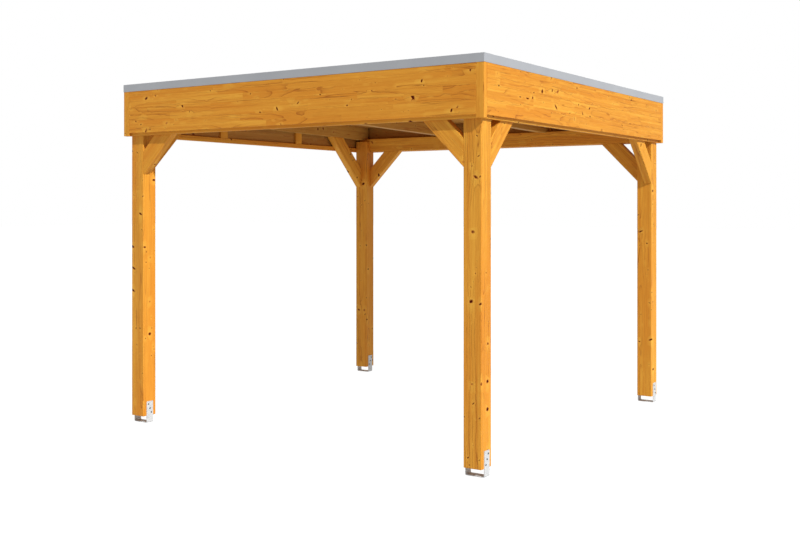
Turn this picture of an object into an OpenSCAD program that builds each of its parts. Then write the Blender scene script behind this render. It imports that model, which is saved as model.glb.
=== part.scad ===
// Flat-roofed garden gazebo: four square posts in steel U brackets, two cross beams, eight knee
// braces, four falling rafters under a boarded roof, and a level fascia all round with a metal edge.
// Origin: centre of the four feet, on the underside of the brackets.  +Z up, -Y is the front.

/* [Roof outline] */
// Length of each side of the roof over the fascia boards
roof_w = 3000; // [2400:50:3600]
// Height of the top of the metal edge above the ground
roof_top = 2465; // [2300:5:2800]
// Height of the fascia with its metal edge
fascia_h = 375; // [330:5:420]
// Fall of the rafters from the front beam to the rear beam
roof_fall = 50; // [0:5:60]

/* [Posts] */
// Side of each square post
post_w = 120; // [100:5:140]
// Gap between the ground and the end grain of each post
post_lift = 50; // [30:5:80]
// Height of a post's inner cheek beside the beam
cheek_h = 95; // [60:5:115]

/* [Beams and rafters] */
// Thickness of beams, rafters and braces
timber_t = 60; // [50:5:60]
// Depth of beams and rafters
timber_h = 120; // [100:5:140]
// Height of the rear beam's underside above the fascia's lowest edge
beam_rise = 5; // [0:5:20]
// Depth of the level seat cut in each rafter over a beam
seat_d = 10; // [5:1:20]

/* [Braces] */
// Drop from a cross beam to the point where a brace's lower edge meets the post
brace_leg = 335; // [250:5:450]
// Width of a brace across its grain
brace_w = 120; // [80:5:140]

/* [Roof skin] */
// Thickness of the roof boards
deck_t = 19; // [16:1:24]
// Thickness of the roofing membrane
membrane_t = 4; // [3:1:6]

/* [Fascia] */
// Thickness of the fascia boards
board_t = 20; // [18:1:24]
// Height of the rail behind the boards' lower edge
rail_h = 40; // [30:5:60]
// Part of the rail that shows below the boards
rail_show = 20; // [10:5:25]
// Width of each upright batten behind the boards
batten_w = 80; // [60:5:100]
// Width of a corner strip on the front and rear faces
strip_w = 55; // [45:5:80]

/* [Metal edge] */
// Height of the metal edge's outer face
trim_h = 53; // [40:1:70]
// Width of the metal edge's top
trim_w = 60; // [50:5:80]
// Thickness of the sheet metal
trim_t = 2; // [1:0.5:3]

/* [Post brackets] */
// Width of the flat steel
bracket_w = 60; // [50:5:80]
// Thickness of the flat steel
bracket_t = 5; // [4:1:8]
// Height of the bracket's side plates above the ground
bracket_h = 155; // [130:5:180]
// Radius of the hole for the anchor bolt in the base
anchor_r = 7; // [5:0.5:9]
// Radius of the screw shanks
screw_r = 4; // [3:0.5:6]
// Length of the screw shanks from under the head
screw_l = 50; // [30:5:55]
// Radius of the screw heads
head_r = 6; // [5:0.5:9]
// Height of the screw heads
head_h = 4; // [3:0.5:6]

/* [Hidden] */
$fn = 48;

pine = "#d8922f";
pine_dark = "#b87a2a";
zinc = "#b9bcc0";
grey_metal = "#90959c";
felt = "#4a4b4d";

half = roof_w / 2;                            // outer face of the fascia boards
board_in = half - board_t;                    // inner face of the fascia boards
out = half - 2 * board_t;                     // outer face of posts, beams and side rafters
post_in = out - post_w;                       // inner face of the posts
timber_in = out - timber_t;                   // inner face of beams and side rafters
seat_y = out - timber_t / 2;                  // middle of a beam
span = 2 * seat_y;                            // distance between the middles of the beams
fascia_z = roof_top - fascia_h;               // lowest edge of the fascia
beam_rear_z = fascia_z + beam_rise;
beam_front_z = beam_rear_z + roof_fall;
strip_top = roof_top - trim_t;                // top of boards, strips and battens
edge_out = half + trim_t;                     // outer face of the metal edge
drip = 15;                                    // height of the metal edge's inner leg
third_x = seat_y / 3;                         // middle rafters and battens, at the third points
bend_r = 10;                                  // outer radius of a bracket's bends
eps = 1;                                      // how far a cutting shape reaches past a face

function beam_z(front) = front ? beam_front_z : beam_rear_z;
function rafter_z(y) = beam_rear_z + timber_h - seat_d + roof_fall * (seat_y - y) / span;

// A post on the +X +Y quarter, notched on its outer half for a cross beam
module post(front) {
  top = beam_z(front) + cheek_h;
  color(pine)
    difference() {
      translate([post_in, post_in, post_lift]) cube([post_w, post_w, top - post_lift]);
      translate([post_in - eps, timber_in, beam_z(front)]) cube([post_w + 2 * eps, timber_t + eps, timber_h]);
      screw_places() cylinder(r = screw_r, h = screw_l);
    }
}

// A cross beam along the +Y side, flush with the posts' outer faces
module beam(front) {
  color(pine)
    translate([-out, timber_in, beam_z(front)]) cube([2 * out, timber_t, timber_h]);
}

// The side view of a brace: foot on a post at x = 0, rising at 45 degrees towards -x
module brace_outline(rise) {
  slant = brace_w * sqrt(2);
  polygon([[0, 0], [0, slant], [-(rise - slant), rise], [-rise, rise]]);
}

// A brace in the plane of a cross beam, on the +X +Y quarter
module beam_brace(front) {
  color(pine)
    translate([post_in, out, beam_z(front) - brace_leg])
      rotate([90, 0, 0]) linear_extrude(timber_t) brace_outline(brace_leg);
}

// A brace on the right side, in the plane of the side rafter and cut at the rafter's underside
module rafter_brace(front) {
  foot_z = beam_z(front) - brace_leg;
  long_rise = brace_leg + timber_h + seat_d;
  color(pine)
    difference() {
      mirror([0, front ? 1 : 0, 0])
        translate([timber_in, post_in, foot_z])
          rotate([90, 0, 90]) linear_extrude(timber_t) brace_outline(long_rise);
      rafter_block(timber_in, 2 * timber_h);
    }
}

// A falling bar as wide as a rafter, on the rafters' underside and of the given depth
module rafter_block(x, depth) {
  translate([x, 0, 0]) rotate([90, 0, 90]) linear_extrude(timber_t) rafter_side(depth);
}

module rafter_side(depth) {
  polygon([[-out, rafter_z(-out)], [out, rafter_z(out)],
           [out, rafter_z(out) + depth], [-out, rafter_z(-out) + depth]]);
}

// A rafter with a level seat over each beam
module rafter(x) {
  color(pine_dark)
    difference() {
      rafter_block(x, timber_h);
      for (front = [false, true])
        mirror([0, front ? 1 : 0, 0])
          translate([x - eps, timber_in, beam_z(front) - timber_h])
            cube([timber_t + 2 * eps, timber_t + eps, 2 * timber_h]);
    }
}

// A falling sheet over the whole roof, from one height above the rafters' underside to another
module roof_sheet(low, high, reach) {
  translate([-reach, 0, 0]) rotate([90, 0, 90]) linear_extrude(2 * reach)
    polygon([[-reach, rafter_z(-reach) + low], [reach, rafter_z(reach) + low],
             [reach, rafter_z(reach) + high], [-reach, rafter_z(-reach) + high]]);
}

module roof_deck() {
  color(pine_dark) roof_sheet(timber_h, timber_h + deck_t, out);
}

module roof_membrane() {
  color(felt) roof_sheet(timber_h + deck_t, timber_h + deck_t + membrane_t, out);
}

// The boards along the +Y side, between the corner strips
module fascia_panel(length) {
  low = fascia_z + rail_show;
  color(pine)
    translate([-length / 2, board_in, low]) cube([length, board_t, strip_top - low]);
}

// The rail behind the boards of the +Y side
module rail(length) {
  color(pine_dark)
    translate([-length / 2, out, fascia_z]) cube([length, board_t, rail_h]);
}

front_l = roof_w - 2 * strip_w;               // boards and rail between two corner strips
side_l = 2 * out;                             // boards and rail between the strips' back faces

// The upright battens above the rails, two on each side
module fascia_battens() {
  color(pine_dark)
    for (side = [0 : 3], x = [-third_x, third_x])
      rotate([0, 0, 90 * side])
        translate([x - batten_w / 2, out, fascia_z + rail_h])
          cube([batten_w, board_t, strip_top - fascia_z - rail_h]);
}

// The strip that closes the +X +Y corner of the fascia
module corner_strip() {
  color(pine)
    translate([half - strip_w, out, fascia_z]) cube([strip_w, 2 * board_t, strip_top - fascia_z]);
}

// The bent metal edge over the boards of the +Y side, mitred at both ends
module metal_edge() {
  color(grey_metal)
    intersection() {
      rotate([90, 0, 90]) translate([0, 0, -edge_out]) linear_extrude(2 * edge_out) edge_profile();
      linear_extrude(2 * roof_top) polygon([[0, 0], [edge_out, edge_out], [-edge_out, edge_out]]);
    }
}

module edge_profile() {
  polygon([[edge_out, roof_top], [edge_out - trim_w, roof_top], [edge_out - trim_w, roof_top - drip],
           [edge_out - trim_w + trim_t, roof_top - drip], [edge_out - trim_w + trim_t, roof_top - trim_t],
           [half, roof_top - trim_t], [half, roof_top - trim_h], [edge_out, roof_top - trim_h]]);
}

// The outline of a U bracket with rounded bends, y up
module bracket_outline(w, h, r) {
  translate([-w / 2, r]) square([w, h - r]);
  translate([-w / 2 + r, 0]) square([w - 2 * r, h]);
  for (side = [-1, 1]) translate([side * (w / 2 - r), r]) circle(r = r);
}

// The bracket under the +X +Y post, its plates on the post's two X faces
module bracket() {
  outer_w = post_w + 2 * bracket_t;
  color(zinc)
    translate([out - post_w / 2, out - post_w / 2, 0])
      difference() {
        translate([0, bracket_w / 2, 0]) rotate([90, 0, 0]) linear_extrude(bracket_w)
          difference() {
            bracket_outline(outer_w, bracket_h, bend_r);
            translate([0, bracket_t]) bracket_outline(post_w, bracket_h, bend_r - bracket_t);
          }
        translate([0, 0, -eps]) cylinder(r = anchor_r, h = bracket_t + 2 * eps);
        translate([-out + post_w / 2, -out + post_w / 2, 0]) screw_places()
          translate([0, 0, -bracket_t - eps]) cylinder(r = screw_r, h = bracket_t + 2 * eps);
      }
}

screw_z = [73, 104, 135];                     // heights of the three screws in a plate
screw_y = 14;                                 // sideways step from one screw to the next

// Puts its children at each screw of the +X +Y post, z pointing into the wood
module screw_places() {
  for (side = [-1, 1], i = [0 : 2])
    translate([out - post_w / 2 + side * post_w / 2, out - post_w / 2 - side * (i - 1) * screw_y, screw_z[i]])
      rotate([0, -side * 90, 0]) children();
}

// The screws of the +X +Y post, three in each plate
module screws() {
  color(zinc)
    screw_places() {
      cylinder(r = screw_r, h = screw_l);
      translate([0, 0, -bracket_t]) cylinder(r = screw_r, h = bracket_t);
      translate([0, 0, -bracket_t - head_h]) cylinder(r = head_r, h = head_h);
    }
}

// Moves a shape from the +X +Y quarter to another quarter
module quarter(right, front) {
  mirror([right ? 0 : 1, 0, 0]) mirror([0, front ? 1 : 0, 0]) children();
}

quarter(true, true) post(true);  // post_front_right
quarter(false, true) post(true);  // post_front_left
quarter(true, false) post(false);  // post_rear_right
quarter(false, false) post(false);  // post_rear_left
quarter(true, true) beam(true);  // beam_front
beam(false);  // beam_rear
quarter(true, true) beam_brace(true);  // front_brace_right
quarter(false, true) beam_brace(true);  // front_brace_left
quarter(true, false) beam_brace(false);  // rear_brace_right
quarter(false, false) beam_brace(false);  // rear_brace_left
rafter_brace(true);  // right_brace_front
rafter_brace(false);  // right_brace_rear
quarter(false, false) rafter_brace(true);  // left_brace_front
quarter(false, false) rafter_brace(false);  // left_brace_rear
rafter(-out);  // rafter_left
rafter(-third_x - timber_t / 2);  // rafter_mid_left
rafter(third_x - timber_t / 2);  // rafter_mid_right
rafter(timber_in);  // rafter_right
roof_deck();
roof_membrane();
rotate([0, 0, 180]) fascia_panel(front_l);  // fascia_front
fascia_panel(front_l);  // fascia_rear
rotate([0, 0, 90]) fascia_panel(side_l);  // fascia_left
rotate([0, 0, -90]) fascia_panel(side_l);  // fascia_right
rotate([0, 0, 180]) rail(front_l);  // rail_front
rail(front_l);  // rail_rear
rotate([0, 0, 90]) rail(side_l);  // rail_left
rotate([0, 0, -90]) rail(side_l);  // rail_right
fascia_battens();
quarter(true, true) corner_strip();  // corner_front_right
quarter(false, true) corner_strip();  // corner_front_left
quarter(true, false) corner_strip();  // corner_rear_right
quarter(false, false) corner_strip();  // corner_rear_left
rotate([0, 0, 180]) metal_edge();  // edge_front
metal_edge();  // edge_rear
rotate([0, 0, 90]) metal_edge();  // edge_left
rotate([0, 0, -90]) metal_edge();  // edge_right
quarter(true, true) bracket();  // bracket_front_right
quarter(false, true) bracket();  // bracket_front_left
quarter(true, false) bracket();  // bracket_rear_right
quarter(false, false) bracket();  // bracket_rear_left
quarter(true, true) screws();  // screws_front_right
quarter(false, true) screws();  // screws_front_left
quarter(true, false) screws();  // screws_rear_right
quarter(false, false) screws();  // screws_rear_left
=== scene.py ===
import math
import random

import bmesh
import bpy
from mathutils import Matrix, Vector


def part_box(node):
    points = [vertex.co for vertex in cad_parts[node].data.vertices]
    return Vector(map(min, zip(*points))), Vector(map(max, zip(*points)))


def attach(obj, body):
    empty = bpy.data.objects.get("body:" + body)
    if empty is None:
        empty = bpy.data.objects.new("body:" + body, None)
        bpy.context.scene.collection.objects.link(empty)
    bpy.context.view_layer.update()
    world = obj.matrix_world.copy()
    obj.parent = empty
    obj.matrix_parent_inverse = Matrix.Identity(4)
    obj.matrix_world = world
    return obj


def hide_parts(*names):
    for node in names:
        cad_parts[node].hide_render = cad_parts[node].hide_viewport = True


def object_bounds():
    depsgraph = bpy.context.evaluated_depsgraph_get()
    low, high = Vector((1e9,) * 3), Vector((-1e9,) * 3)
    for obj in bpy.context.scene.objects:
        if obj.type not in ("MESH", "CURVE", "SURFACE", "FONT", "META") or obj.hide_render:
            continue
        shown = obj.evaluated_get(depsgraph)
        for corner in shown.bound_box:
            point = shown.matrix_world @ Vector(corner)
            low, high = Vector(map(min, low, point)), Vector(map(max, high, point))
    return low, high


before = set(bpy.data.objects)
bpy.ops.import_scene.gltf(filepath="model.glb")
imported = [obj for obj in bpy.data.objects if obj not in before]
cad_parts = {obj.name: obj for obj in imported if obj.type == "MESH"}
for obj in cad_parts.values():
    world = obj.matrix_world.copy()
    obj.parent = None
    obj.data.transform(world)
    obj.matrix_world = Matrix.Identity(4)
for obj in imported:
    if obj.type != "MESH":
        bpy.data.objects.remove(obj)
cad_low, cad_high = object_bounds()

scene = bpy.context.scene


# ---- Camera ----
# It stands off the front right corner a little below standing eye height and looks dead level,
# so the posts stay upright in the picture; the lens is shifted down to take in the feet.
camera_place = (4.4186, -6.7854, 1.5884)
camera_turn = 33.487
camera = bpy.data.objects.new("camera", bpy.data.cameras.new("camera"))
scene.collection.objects.link(camera)
camera.location = camera_place
camera.rotation_euler = (math.radians(90), 0, math.radians(camera_turn))
camera.data.lens = 47.2
camera.data.shift_y = -0.077
scene.camera = camera
scene.view_settings.view_transform = "Standard"


# ---- Light, sky and floor ----
# Daylight for a product picture: one low sun from the right and a little in front, an even pale
# sky that fills the shade, brighter from below as over pale paving, and a white floor that gives
# off its own light, so that no shadow shows on it.
sun_from = Vector((2.7, -1.0, 2.05))
sun = bpy.data.objects.new("sun", bpy.data.lights.new("sun", "SUN"))
scene.collection.objects.link(sun)
sun.rotation_euler = sun_from.to_track_quat("Z", "Y").to_euler()
sun.data.energy = 3.55
sun.data.angle = math.radians(1.5)
sun.data.color = (1.0, 0.99, 0.97)


def linear(colour):
    """An sRGB hex colour as linear red, green, blue and an opaque alpha."""
    parts = [int(colour[i:i + 2], 16) / 255 for i in (1, 3, 5)]
    return [c / 12.92 if c <= 0.04045 else ((c + 0.055) / 1.055) ** 2.4 for c in parts] + [1.0]


def add(tree, kind, inputs=None, **settings):
    """Adds one shader node with its settings; each input is a value or a socket to link."""
    node = tree.nodes.new("ShaderNode" + kind)
    for name, value in settings.items():
        setattr(node, name, value)
    for key, value in (inputs or {}).items():
        if isinstance(value, bpy.types.NodeSocket):
            tree.links.new(value, node.inputs[key])
        else:
            node.inputs[key].default_value = value
    return node


def new_material(name):
    """A material with its node tree and its surface shader."""
    material = bpy.data.materials.new(name)
    material.use_nodes = True
    return material, material.node_tree, material.node_tree.nodes["Principled BSDF"]


world = bpy.data.worlds.new("pale sky")
scene.world = world
world.use_nodes = True
sky_tree = world.node_tree
sky_tree.nodes.clear()
height = add(sky_tree, "SeparateXYZ", {0: add(sky_tree, "TexCoord").outputs["Generated"]}).outputs[2]
sky_and_ground = add(sky_tree, "MapRange", {0: height, 1: -0.2, 2: 0.2, 3: 0.80, 4: 0.42}).outputs[0]
fill = add(sky_tree, "Background", {"Color": linear("#FFFCF8"), "Strength": sky_and_ground})
backdrop = add(sky_tree, "Background", {"Color": (1.0, 1.0, 1.0, 1.0), "Strength": 1.0})
seen = add(sky_tree, "LightPath").outputs["Is Camera Ray"]
sky = add(sky_tree, "MixShader", {0: seen, 1: fill.outputs[0], 2: backdrop.outputs[0]})
add(sky_tree, "OutputWorld", {"Surface": sky.outputs[0]})

floor_half = 60.0
floor_bm = bmesh.new()
bmesh.ops.create_grid(floor_bm, x_segments=1, y_segments=1, size=floor_half)
floor_mesh = bpy.data.meshes.new("floor")
floor_bm.to_mesh(floor_mesh)
floor_bm.free()
floor = bpy.data.objects.new("floor", floor_mesh)
scene.collection.objects.link(floor)
floor.visible_diffuse = False
floor.visible_glossy = False
floor_paint, _, floor_shader = new_material("white studio floor")
floor_shader.inputs["Base Color"].default_value = linear("#5A5A5A")
floor_shader.inputs["Roughness"].default_value = 0.9
floor_shader.inputs["Specular IOR Level"].default_value = 0.0
floor_shader.inputs["Emission Color"].default_value = (1.0, 1.0, 1.0, 1.0)
floor_shader.inputs["Emission Strength"].default_value = 1.0
floor_mesh.materials.append(floor_paint)


# ---- Post brackets ----
# Flat steel 60 x 5 mm, drilled and bent to a U, then hot-dip galvanised: a pale grey zinc skin
# with a faint spangle. Each stands on the ground and carries its post clear of the wet.
corners = ["front_right", "front_left", "rear_right", "rear_left"]


def galvanised(name, light, dark, spangle_mm):
    """Zinc on steel: angular crystals a few millimetres across, each a slightly different grey."""
    material, tree, shader = new_material(name)
    place = add(tree, "TexCoord").outputs["Object"]
    crystals = add(tree, "TexVoronoi", {"Vector": place, "Scale": 1000 / spangle_mm}, feature="F1")
    crystal_tone = add(tree, "SeparateColor", {0: crystals.outputs["Color"]}).outputs[0]
    cloud = add(tree, "TexNoise", {"Vector": place, "Scale": 14.0, "Detail": 4.0}).outputs[0]
    blend = add(tree, "Math", {0: crystal_tone, 1: cloud}, operation="MULTIPLY").outputs[0]
    colour = add(tree, "Mix", {0: blend, 6: linear(light), 7: linear(dark)}, data_type="RGBA")
    rough = add(tree, "MapRange", {0: crystal_tone, 3: 0.42, 4: 0.6}).outputs[0]
    tree.links.new(colour.outputs[2], shader.inputs["Base Color"])
    tree.links.new(rough, shader.inputs["Roughness"])
    shader.inputs["Metallic"].default_value = 0.12
    return material


zinc = galvanised("hot dip galvanised steel", "#D4D6D8", "#A3A7AB", 7)
for corner in corners:
    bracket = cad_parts["bracket_" + corner]
    bracket.data.materials.clear()
    bracket.data.materials.append(zinc)


# ---- Bracket screws ----
# Dull grey washer-head screws, three on a slant in each side plate, driven into the post.
# Each head is a low dome on a thin flange with a round socket pressed into it.
screw_flange_h = 0.0012
socket_depth = 0.002


def piece(name, bm, material, slot, *nodes):
    """Makes the finished object from a bmesh, gives it its body and hides what it replaces; the slot
    argument is not used.
    """
    mesh = bpy.data.meshes.new(name)
    bm.to_mesh(mesh)
    bm.free()
    mesh.materials.append(material)
    obj = bpy.data.objects.new(name, mesh)
    scene.collection.objects.link(obj)
    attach(obj, "root")
    if nodes:
        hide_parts(*nodes)
    return obj


def screw_head(bm, place, outward, head_r, head_h):
    """A flange, a dome and a round socket, whose flat back lies at place."""
    made = bmesh.ops.create_circle(bm, cap_ends=True, segments=18, radius=head_r)
    rim = made["verts"]
    front = rim[0].link_faces[0]
    shoulder_h = head_h * 0.4
    steps = [(0.0, screw_flange_h), (0.22, shoulder_h), (0.42, head_h - screw_flange_h - shoulder_h)]
    verts = set(rim)
    for pull_in, rise in steps:
        out = bmesh.ops.extrude_discrete_faces(bm, faces=[front])
        front = out["faces"][0]
        ring = list(front.verts)
        bmesh.ops.scale(bm, vec=(1 - pull_in, 1 - pull_in, 1), verts=ring)
        bmesh.ops.translate(bm, vec=(0, 0, rise), verts=ring)
        verts.update(ring)
    out = bmesh.ops.extrude_discrete_faces(bm, faces=[front])
    ring = list(out["faces"][0].verts)
    bmesh.ops.scale(bm, vec=(0.7, 0.7, 1), verts=ring)
    verts.update(ring)
    out = bmesh.ops.extrude_discrete_faces(bm, faces=[out["faces"][0]])
    ring = list(out["faces"][0].verts)
    bmesh.ops.translate(bm, vec=(0, 0, -socket_depth), verts=ring)
    verts.update(ring)
    turn = Vector(outward).to_track_quat("Z", "Y").to_matrix().to_4x4()
    bmesh.ops.transform(bm, matrix=Matrix.Translation(place) @ turn, verts=list(verts))


screw_zinc = galvanised("dull zinc screw steel", "#55585C", "#35383C", 3)
head_r = 0.006
head_h = 0.004
for corner in corners:
    low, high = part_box("screws_" + corner)
    rear = 1 if "rear" in corner else -1
    right = 1 if "right" in corner else -1
    centre = (low + high) / 2
    reach = Vector((0, high.y - low.y, high.z - low.z)) / 2 - Vector((0, head_r, head_r))
    bm = bmesh.new()
    for side in (-1, 1):
        plate_x = (high.x - head_h) if side > 0 else (low.x + head_h)
        for step in (-1, 0, 1):
            y = centre.y - side * right * rear * step * reach.y
            screw_head(bm, (plate_x, y, centre.z + step * reach.z), (side, 0, 0), head_r, head_h)
    bmesh.ops.holes_fill(bm, edges=[e for e in bm.edges if e.is_boundary])
    bmesh.ops.recalc_face_normals(bm, faces=bm.faces)
    piece("screw_heads_" + corner, bm, screw_zinc, "screws", "screws_" + corner)


# ---- Posts ----
# Four posts of planed spruce 120 mm square, edges eased by the planer, glazed honey yellow. The
# outer half of each head is cut away to a shoulder that the cross beam sits on.
post_edge = 0.004
weld = 0.00001
post_heart = 0.05
ring_w = 0.017
rng = random.Random(4)


def lay_grain(bm, verts, along, face, heart, rng):
    """Gives each vertex its place in the log: along the grain, and across from the pith, in metres."""
    layer = bm.verts.layers.float_vector["grain"]
    along = Vector(along).normalized()
    depth = Vector(face).normalized()
    across = depth.cross(along)
    middle = sum((v.co for v in verts), Vector()) / len(verts)
    start = rng.uniform(0, 90)
    pith_across = rng.uniform(-heart, heart)
    pith_depth = rng.uniform(0.4, 1.0) * heart
    for v in verts:
        p = v.co - middle
        v[layer] = (p.dot(along) + start, p.dot(across) + pith_across, p.dot(depth) + pith_depth)


def ease(bm, edges, width):
    """Rounds the edges by the given width, as a planer or sandpaper leaves them."""
    bmesh.ops.bevel(bm, geom=list(edges), offset=width, offset_type="OFFSET", segments=2,
                    profile=0.5, affect="EDGES", clamp_overlap=True, material=-1)


def new_timber():
    """An empty bmesh that carries the grain coordinates."""
    bm = bmesh.new()
    bm.verts.layers.float_vector.new("grain")
    return bm


def glazed_spruce(name, early, late, ruddy, halo, lamella=(0.0, 0.0)):
    """Planed spruce under a honey glaze: growth rings, streaks, pale-haloed brown knots.

    lamella is the length and width of the strips that a glued board is made of, or zeros.
    """
    material, tree, shader = new_material(name)
    grain = add(tree, "Attribute", attribute_name="grain").outputs["Vector"]
    strip_tone = None
    if lamella[0]:
        strips = add(tree, "TexBrick", {
            "Vector": grain, "Color1": (0, 0, 0, 1), "Color2": (1, 1, 1, 1), "Mortar": (0.5, 0.5, 0.5, 1),
            "Scale": 1.0, "Mortar Size": 0.0, "Brick Width": lamella[0], "Row Height": lamella[1],
        }, offset=0.37)
        strip_tone = add(tree, "SeparateColor", {0: strips.outputs["Color"]}).outputs[0]
        jump = add(tree, "VectorMath", {0: (0.7, 0.05, 0.11), 3: strip_tone}, operation="SCALE").outputs[0]
        grain = add(tree, "VectorMath", {0: grain, 1: jump}, operation="ADD").outputs[0]

    def math_node(operation, a, b=0.0, clamp=False):
        return add(tree, "Math", {0: a, 1: b}, operation=operation, use_clamp=clamp).outputs[0]

    def ramp(value, low, high, start=0.0, end=1.0):
        return add(tree, "MapRange", {0: value, 1: low, 2: high, 3: start, 4: end}).outputs[0]

    def stained(colour, amount, stain):
        return add(tree, "Mix", {0: amount, 6: colour, 7: linear(stain)}, data_type="RGBA").outputs[2]

    def stretched(along, across, detail):
        """Noise in the log, features 1/along metres long and 1/across metres wide."""
        place = add(tree, "VectorMath", {0: grain, 1: (along, across, across)}, operation="MULTIPLY")
        noise = add(tree, "TexNoise", {"Vector": place.outputs[0], "Scale": 1.0, "Detail": detail})
        return noise.outputs[0]

    def knots(spacing, chance, radius):
        """Knots of up to the given radius, some cut aslant: dark core, brown rim and pale halo."""
        cells = add(tree, "TexVoronoi", {"Vector": grain, "Scale": 1 / spacing}, feature="F1")
        away = add(tree, "VectorMath", {0: grain, 1: cells.outputs["Position"]}, operation="SUBTRACT")
        away = away.outputs[0]
        picks = add(tree, "SeparateColor", {0: cells.outputs["Color"]})
        size = ramp(picks.outputs[0], chance, 1.0, 0.0, radius)
        slant = ramp(picks.outputs[1], 0.0, 1.0, -1.3, 1.3)
        parts = add(tree, "SeparateXYZ", {0: away})
        length = math_node("MULTIPLY", parts.outputs[0], ramp(picks.outputs[2], 0.0, 1.0, 0.5, 1.5))
        across = math_node("ADD", parts.outputs[1], math_node("MULTIPLY", parts.outputs[0], slant))
        cut = add(tree, "CombineXYZ", {0: length, 1: across, 2: parts.outputs[2]}).outputs[0]
        near = add(tree, "VectorMath", {0: cut}, operation="LENGTH").outputs["Value"]
        core = math_node("DIVIDE", math_node("SUBTRACT", size, near), 0.0022, True)
        wide = math_node("MULTIPLY", size, 1.4)
        rim = math_node("DIVIDE", math_node("SUBTRACT", wide, near), 0.003, True)
        flat = add(tree, "VectorMath", {0: away, 1: (0.42, 1.0, 1.0)}, operation="MULTIPLY").outputs[0]
        far = add(tree, "VectorMath", {0: flat}, operation="LENGTH").outputs["Value"]
        reach = math_node("ADD", math_node("MULTIPLY", size, 3.0), 0.0001)
        glow = math_node("SUBTRACT", 1.0, math_node("DIVIDE", far, reach), True)
        return core, rim, glow

    big_core, big_rim, big_glow = knots(0.080, 0.24, 0.0130)
    small_core, small_rim, small_glow = knots(0.040, 0.50, 0.0055)
    glow = math_node("MAXIMUM", big_glow, math_node("MULTIPLY", small_glow, 0.6))
    core = math_node("MAXIMUM", big_core, math_node("MULTIPLY", small_core, 0.8))
    rim = math_node("MAXIMUM", big_rim, small_rim)

    # Growth rings round the pith, which wanders along the log and bulges round the knots. They are
    # drawn about four times as wide as in spruce, where they are some 4 mm apart.
    wander = stretched(1.1, 6.0, 1.0)
    ripple = stretched(7.0, 14.0, 2.0)
    section = add(tree, "VectorMath", {0: grain, 1: (0.0, 1.0, 1.0)}, operation="MULTIPLY").outputs[0]
    radius = add(tree, "VectorMath", {0: section}, operation="LENGTH").outputs["Value"]
    bent = add(tree, "Math", {0: wander, 1: 0.10, 2: radius}, operation="MULTIPLY_ADD").outputs[0]
    bent = add(tree, "Math", {0: ripple, 1: 0.020, 2: bent}, operation="MULTIPLY_ADD").outputs[0]
    bent = add(tree, "Math", {0: glow, 1: 0.012, 2: bent}, operation="MULTIPLY_ADD").outputs[0]
    ring = math_node("FRACT", math_node("DIVIDE", bent, ring_w))
    latewood = math_node("POWER", ring, 9.0)
    show = ramp(stretched(1.1, 9.0, 2.0), 0.44, 0.60)
    latewood = math_node("MULTIPLY", latewood, show)

    broad = ramp(stretched(0.5, 34.0, 3.0), 0.32, 0.68)
    streak = ramp(stretched(2.6, 130.0, 2.0), 0.3, 0.7)
    level = math_node("SUBTRACT", stretched(0.7, 21.0, 2.0), 0.5)
    thread = ramp(math_node("ABSOLUTE", level), 0.0, 0.012, 1.0, 0.0)
    thread = math_node("MULTIPLY", thread, ramp(stretched(2.3, 11.0, 1.0), 0.42, 0.62))
    fibre = stretched(14.0, 520.0, 2.0)
    tone = add(tree, "Math", {0: broad, 1: 0.62, 2: math_node("MULTIPLY", streak, 0.38)},
               operation="MULTIPLY_ADD").outputs[0]
    colour = add(tree, "Mix", {0: tone, 6: linear(early), 7: linear(late)}, data_type="RGBA").outputs[2]
    warm = ramp(stretched(0.9, 7.0, 1.0), 0.46, 0.68, 0.0, 0.8)
    colour = stained(colour, warm, ruddy)
    if strip_tone is not None:
        colour = stained(colour, ramp(strip_tone, 0.0, 1.0, 0.0, 0.55), late)
    colour = stained(colour, math_node("MULTIPLY", latewood, 0.85), "#94480F")
    colour = stained(colour, math_node("MULTIPLY", thread, 0.7), "#8A420F")
    colour = stained(colour, ramp(fibre, 0.35, 0.75, 0.0, 0.4), "#B56A1C")
    colour = stained(colour, math_node("MULTIPLY", glow, 0.35), halo)
    colour = stained(colour, math_node("MULTIPLY", rim, 0.7), "#A5501A")
    colour = stained(colour, core, "#4C1406")
    tree.links.new(colour, shader.inputs["Base Color"])
    tree.links.new(ramp(streak, 0.0, 1.0, 0.48, 0.64), shader.inputs["Roughness"])
    tree.links.new(ramp(core, 0.0, 1.0, 0.16, 0.02), shader.inputs["Specular IOR Level"])
    relief = math_node("ADD", math_node("MULTIPLY", fibre, 0.35), math_node("MULTIPLY", latewood, -0.5))
    relief = math_node("ADD", relief, math_node("MULTIPLY", thread, -0.6))
    relief = math_node("ADD", relief, math_node("MULTIPLY", rim, -0.9))
    bump = add(tree, "Bump", {"Height": relief, "Strength": 0.6, "Distance": 0.003})
    tree.links.new(bump.outputs[0], shader.inputs["Normal"])
    return material


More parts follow.
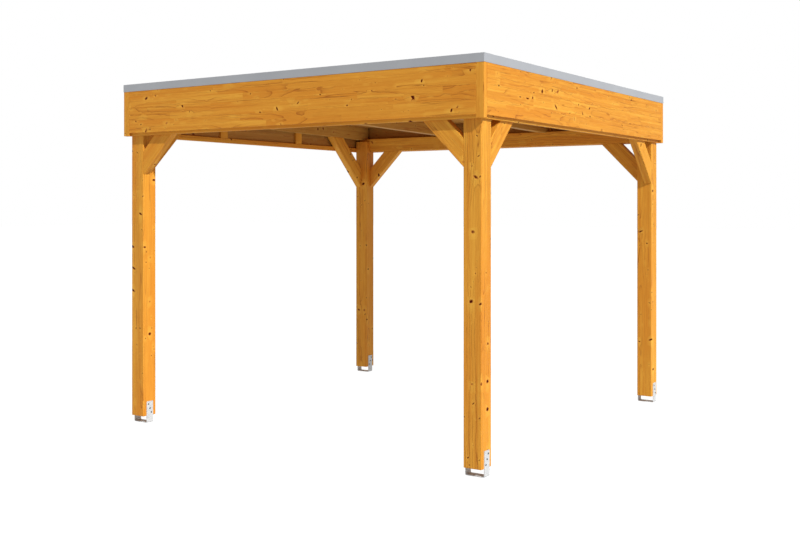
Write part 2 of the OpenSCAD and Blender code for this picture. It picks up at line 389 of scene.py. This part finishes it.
post_wood = glazed_spruce("honey glazed spruce post", "#EEB142", "#CF8527", "#DA8D2C", "#FACA54")
for corner in corners:
    low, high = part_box("post_" + corner)
    beam_low, beam_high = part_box("beam_" + corner.split("_")[0])
    rear = 1 if "rear" in corner else -1
    beam_face = beam_low.y if rear > 0 else beam_high.y
    shoulder = Vector((high.x, high.y, beam_low.z))
    bm = new_timber()
    size = shoulder - low
    place = Matrix.Translation((low + shoulder) / 2) @ Matrix.Diagonal((*size, 1.0))
    bmesh.ops.create_cube(bm, size=1.0, matrix=place)
    whole = bm.verts[:] + bm.edges[:] + bm.faces[:]
    bmesh.ops.bisect_plane(bm, geom=whole, plane_co=(0, beam_face, 0), plane_no=(0, 1, 0))
    cheek = [f for f in bm.faces if f.normal.z > 0.9 and (f.calc_center_median().y - beam_face) * rear < 0]
    raised = bmesh.ops.extrude_discrete_faces(bm, faces=cheek)
    bmesh.ops.translate(bm, vec=(0, 0, high.z - shoulder.z), verts=list(raised["faces"][0].verts))
    bmesh.ops.dissolve_limit(bm, angle_limit=math.radians(1), verts=bm.verts, edges=bm.edges)
    ease(bm, bm.edges, post_edge)
    lay_grain(bm, bm.verts, (0, 0, 1), (0, 1, 0), post_heart, rng)
    piece("post_timber_" + corner, bm, post_wood, "posts", "post_" + corner)


# ---- Beams, braces and rafters ----
# Planed spruce 60 x 120 mm: two level cross beams on the posts' shoulders, four rafters seated on
# them and falling to the rear, and eight braces cut at 45 degrees, all screwed from the hidden side.
# The rafters are coloured darker and duller than the beams as painted shade, for the shade under the roof.
timber_edge = 0.003
timber_heart = 0.07
timber_wood = glazed_spruce("honey glazed spruce beam", "#EDB041", "#CC8326", "#D88B2B", "#F9C852")
# The rafters' colours are darker and duller than the beams' as painted shade under the roof.
rafter_painted_shade_wood = glazed_spruce("rafter darkened as painted shade", "#C89C4C", "#A97532", "#B17B2F", "#D3AE58")


def shaped_timber(node, along, face, wood):
    """A copy of a sawn timber with its triangles merged to whole faces and its edges eased."""
    bm = new_timber()
    bm.from_mesh(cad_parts[node].data)
    bmesh.ops.remove_doubles(bm, verts=bm.verts, dist=weld)
    bmesh.ops.dissolve_limit(bm, angle_limit=math.radians(0.2), verts=bm.verts, edges=bm.edges)
    ease(bm, bm.edges, timber_edge)
    lay_grain(bm, bm.verts, along, face, timber_heart, rng)
    piece(node + "_timber", bm, wood, "timbers", node)


for name in ("beam_front", "beam_rear"):
    shaped_timber(name, (1, 0, 0), (0, 1, 0), timber_wood)
for name in ("rafter_left", "rafter_mid_left", "rafter_mid_right", "rafter_right"):
    shaped_timber(name, (0, 1, 0), (1, 0, 0), rafter_painted_shade_wood)
for row in ("front", "rear"):
    for side, sign in (("right", 1), ("left", -1)):
        shaped_timber(row + "_brace_" + side, (-sign, 0, 1), (0, 1, 0), timber_wood)
        shaped_timber(side + "_brace_" + row, (0, 1 if row == "front" else -1, 1), (1, 0, 0), timber_wood)


# ---- Roof boards ----
# Spruce boards 19 mm thick laid across the rafters, tongued together, with a small V at each
# joint below. They are coloured darker and duller than the posts as painted shade under the roof.
deck_board_w = 0.096
deck_board_t = 0.019
deck_edge = 0.0025
board_heart = 0.06


def bar(bm, low, high, edge, along, face, heart, rng, lean=None):
    """Adds a board between two corners, edges eased, with its own grain; lean tips it into place."""
    known = set(bm.verts)
    size = Vector(high) - Vector(low)
    middle = (Vector(high) + Vector(low)) / 2
    place = Matrix.Translation(middle) @ Matrix.Diagonal((*size, 1.0))
    made = bmesh.ops.create_cube(bm, size=1.0, matrix=place)
    ease(bm, dict.fromkeys(e for v in made["verts"] for e in v.link_edges), edge)
    fresh = [v for v in bm.verts if v not in known]
    lay_grain(bm, fresh, along, face, heart, rng)
    if lean is not None:
        bmesh.ops.transform(bm, matrix=lean, verts=fresh)


deck_low, deck_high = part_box("roof_deck")
deck_length = deck_high.y - deck_low.y
deck_fall = deck_high.z - deck_low.z - deck_board_t
slope = deck_fall / deck_length
deck_lean = Matrix.Identity(4)
deck_lean[2][1] = -slope
deck_lean[2][3] = -slope * -deck_high.y
# The roof boards' colours are darker and duller than the posts' as painted shade under the roof.
deck_painted_shade_wood = glazed_spruce("spruce roof board with painted shade", "#C89A4E", "#AA7636", "#B17B36", "#D6B060")
deck_count = round(deck_length / deck_board_w)
pitch = deck_length / deck_count
bm = new_timber()
for i in range(deck_count):
    y = deck_low.y + i * pitch
    bar(bm, (deck_low.x, y, deck_low.z), (deck_high.x, y + pitch, deck_low.z + deck_board_t),
        deck_edge, (1, 0, 0), (0, 0, 1), board_heart, rng, deck_lean)
piece("roof_boards", bm, deck_painted_shade_wood, "roof_boards", "roof_deck")


# ---- Roofing sheet ----
# One dark grey rubber sheet glued to the boards and turned up behind the fascia on all four
# sides, so the roof is a shallow tray that falls to the rear.
sheet_t = 0.004
sheet_clear = 0.0005
upstand_top = cad_high.z - 0.012
lap_pitch = 0.973
lap_start = 0.48
sheet_low, sheet_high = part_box("roof_membrane")


def roofing_rubber():
    """Weathered rubber sheet: nearly black, cloudy with dust, matt, with lap seams a metre apart."""
    material, tree, shader = new_material("dark grey roofing rubber")
    place = add(tree, "TexCoord").outputs["Object"]
    dust = add(tree, "TexNoise", {"Vector": place, "Scale": 2.2, "Detail": 6.0}).outputs[0]
    grit = add(tree, "TexNoise", {"Vector": place, "Scale": 220.0, "Detail": 2.0}).outputs[0]
    blend = add(tree, "MapRange", {0: dust, 1: 0.35, 2: 0.7}).outputs[0]
    tones = {0: blend, 6: linear("#3F4144"), 7: linear("#4B4D50")}
    colour = add(tree, "Mix", tones, data_type="RGBA").outputs[2]
    east = add(tree, "SeparateXYZ", {0: place}).outputs[0]
    lap = add(tree, "Math", {0: east, 1: lap_pitch}, operation="PINGPONG").outputs[0]
    step = add(tree, "Math", {0: lap, 1: lap_start}, operation="GREATER_THAN").outputs[0]
    relief = add(tree, "Math", {0: grit, 1: 0.12, 2: step}, operation="MULTIPLY_ADD").outputs[0]
    bump = add(tree, "Bump", {"Height": relief, "Strength": 0.5, "Distance": 0.002}).outputs[0]
    tree.links.new(colour, shader.inputs["Base Color"])
    tree.links.new(bump, shader.inputs["Normal"])
    shader.inputs["Roughness"].default_value = 0.72
    return material


bm = bmesh.new()
bmesh.ops.create_grid(bm, x_segments=1, y_segments=1, size=sheet_high.x - sheet_t)
for v in bm.verts:
    v.co.z = sheet_low.z + sheet_t + slope * (sheet_high.y - v.co.y)
border = bmesh.ops.extrude_edge_only(bm, edges=bm.edges[:])
for v in border["geom"]:
    if isinstance(v, bmesh.types.BMVert):
        v.co.z = upstand_top
bmesh.ops.recalc_face_normals(bm, faces=bm.faces)
centre_face = max(bm.faces, key=lambda f: f.calc_area())
if centre_face.normal.z < 0:
    bmesh.ops.reverse_faces(bm, faces=bm.faces)
bmesh.ops.solidify(bm, geom=bm.faces[:], thickness=sheet_t - sheet_clear)
bmesh.ops.recalc_face_normals(bm, faces=bm.faces)
piece("roofing_sheet", bm, roofing_rubber(), "membrane", "roof_membrane")


# ---- Fascia frame ----
# Planed spruce laths 20 mm thick that carry the fascia boards: a rail along the foot of each side,
# which shows as a step below the boards, and two upright battens a side at the rafters.
lath_edge = 0.002
rail_edge = 0.005
lath_heart = 0.05
batten_half = 0.040
sides = {"front": (1, 0, 0), "rear": (1, 0, 0), "left": (0, 1, 0), "right": (0, 1, 0)}
bm = new_timber()
rafter_low, rafter_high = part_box("rafter_mid_right")
third = (rafter_low.x + rafter_high.x) / 2
batten_low, batten_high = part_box("fascia_battens")
for side, along in sides.items():
    low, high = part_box("rail_" + side)
    face = (0, 1, 0) if along[0] else (1, 0, 0)
    for place in (-third, third):
        if along[0]:
            ends = (place - batten_half, low.y, high.z), (place + batten_half, high.y, batten_high.z)
        else:
            ends = (low.x, place - batten_half, high.z), (high.x, place + batten_half, batten_high.z)
        bar(bm, *ends, lath_edge, (0, 0, 1), face, lath_heart, rng)
piece("upright_battens", bm, timber_wood, "fascia_frame", "fascia_battens")
for side, along in sides.items():
    low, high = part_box("rail_" + side)
    bm = new_timber()
    bar(bm, low, high, rail_edge, along, (0, 1, 0) if along[0] else (1, 0, 0), lath_heart, rng)
    piece("foot_rail_" + side, bm, timber_wood, "fascia_frame", "rail_" + side)


# ---- Fascia boards ----
# Glued spruce boards 20 mm thick set edge to edge, four to a side, their strips finger-jointed
# from short lengths; the joints between boards are tight and show as fine lines. Their inner
# faces are coloured darker as painted shade under the roof.
fascia_rows = 4
board_edge = 0.0012
fascia_wood = glazed_spruce("honey glazed glued board", "#EEB142", "#CE8427", "#DA8D2C", "#FACA54",
                            lamella=(0.62, 0.045))
# The inner faces' colours are darker and duller as painted shade inside the roof.
board_back_painted_shade_wood = glazed_spruce("board back darkened as painted shade", "#C08F48", "#A06E2F", "#A97232", "#CFA25A",
                          lamella=(0.62, 0.045))
for side, along in sides.items():
    low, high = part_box("fascia_" + side)
    row_h = (high.z - low.z) / fascia_rows
    bm = new_timber()
    for row in range(fascia_rows):
        bar(bm, (low.x, low.y, low.z + row * row_h), (high.x, high.y, low.z + (row + 1) * row_h),
            board_edge, along, (0, 1, 0) if along[0] else (1, 0, 0), board_heart, rng)
    # Faces turned inward take the second, darker material: painted shade.
    inward = Vector((-(low.x + high.x), -(low.y + high.y), 0)).normalized()
    for face in bm.faces:
        face.material_index = int(face.normal.dot(inward) > 0.9)
    obj = piece("fascia_boards_" + side, bm, fascia_wood, "fascia_boards", "fascia_" + side)
    obj.data.materials.append(board_back_painted_shade_wood)


# ---- Corner strips ----
# One upright spruce strip closes each corner of the fascia, 55 mm wide on the front and rear and
# 40 mm on the sides, flush with the boards and running down to the foot of the rail.
strip_edge = 0.0025
strip_heart = 0.04
for corner in corners:
    low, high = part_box("corner_" + corner)
    bm = new_timber()
    bar(bm, low, high, strip_edge, (0, 0, 1), (0, 1, 0), strip_heart, rng)
    piece("corner_strip_" + corner, bm, post_wood, "fascia_boards", "corner_" + corner)


# ---- Roof edge ----
# Aluminium sheet folded over the top of the fascia, 53 mm down the outside, coated light grey and
# mitred at the corners. The coating is smooth and satin, so it takes the sky's tone evenly.
fold_r = 0.0008


def coated_aluminium():
    """Grey stove enamel on sheet: even colour, a trace of cloudiness, satin gloss."""
    material, tree, shader = new_material("grey coated aluminium")
    place = add(tree, "TexCoord").outputs["Object"]
    cloud = add(tree, "TexNoise", {"Vector": place, "Scale": 5.0, "Detail": 5.0}).outputs[0]
    tones = {0: cloud, 6: linear("#9CA0A7"), 7: linear("#A9ADB3")}
    colour = add(tree, "Mix", tones, data_type="RGBA").outputs[2]
    tree.links.new(colour, shader.inputs["Base Color"])
    rough = add(tree, "MapRange", {0: cloud, 3: 0.38, 4: 0.5}).outputs[0]
    tree.links.new(rough, shader.inputs["Roughness"])
    return material


edge_coat = coated_aluminium()
for side in sides:
    bm = bmesh.new()
    bm.from_mesh(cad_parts["edge_" + side].data)
    bmesh.ops.remove_doubles(bm, verts=bm.verts, dist=weld)
    bmesh.ops.dissolve_limit(bm, angle_limit=math.radians(0.2), verts=bm.verts, edges=bm.edges)
    ease(bm, bm.edges, fold_r)
    piece("roof_edge_" + side, bm, edge_coat, "roof_edge", "edge_" + side)
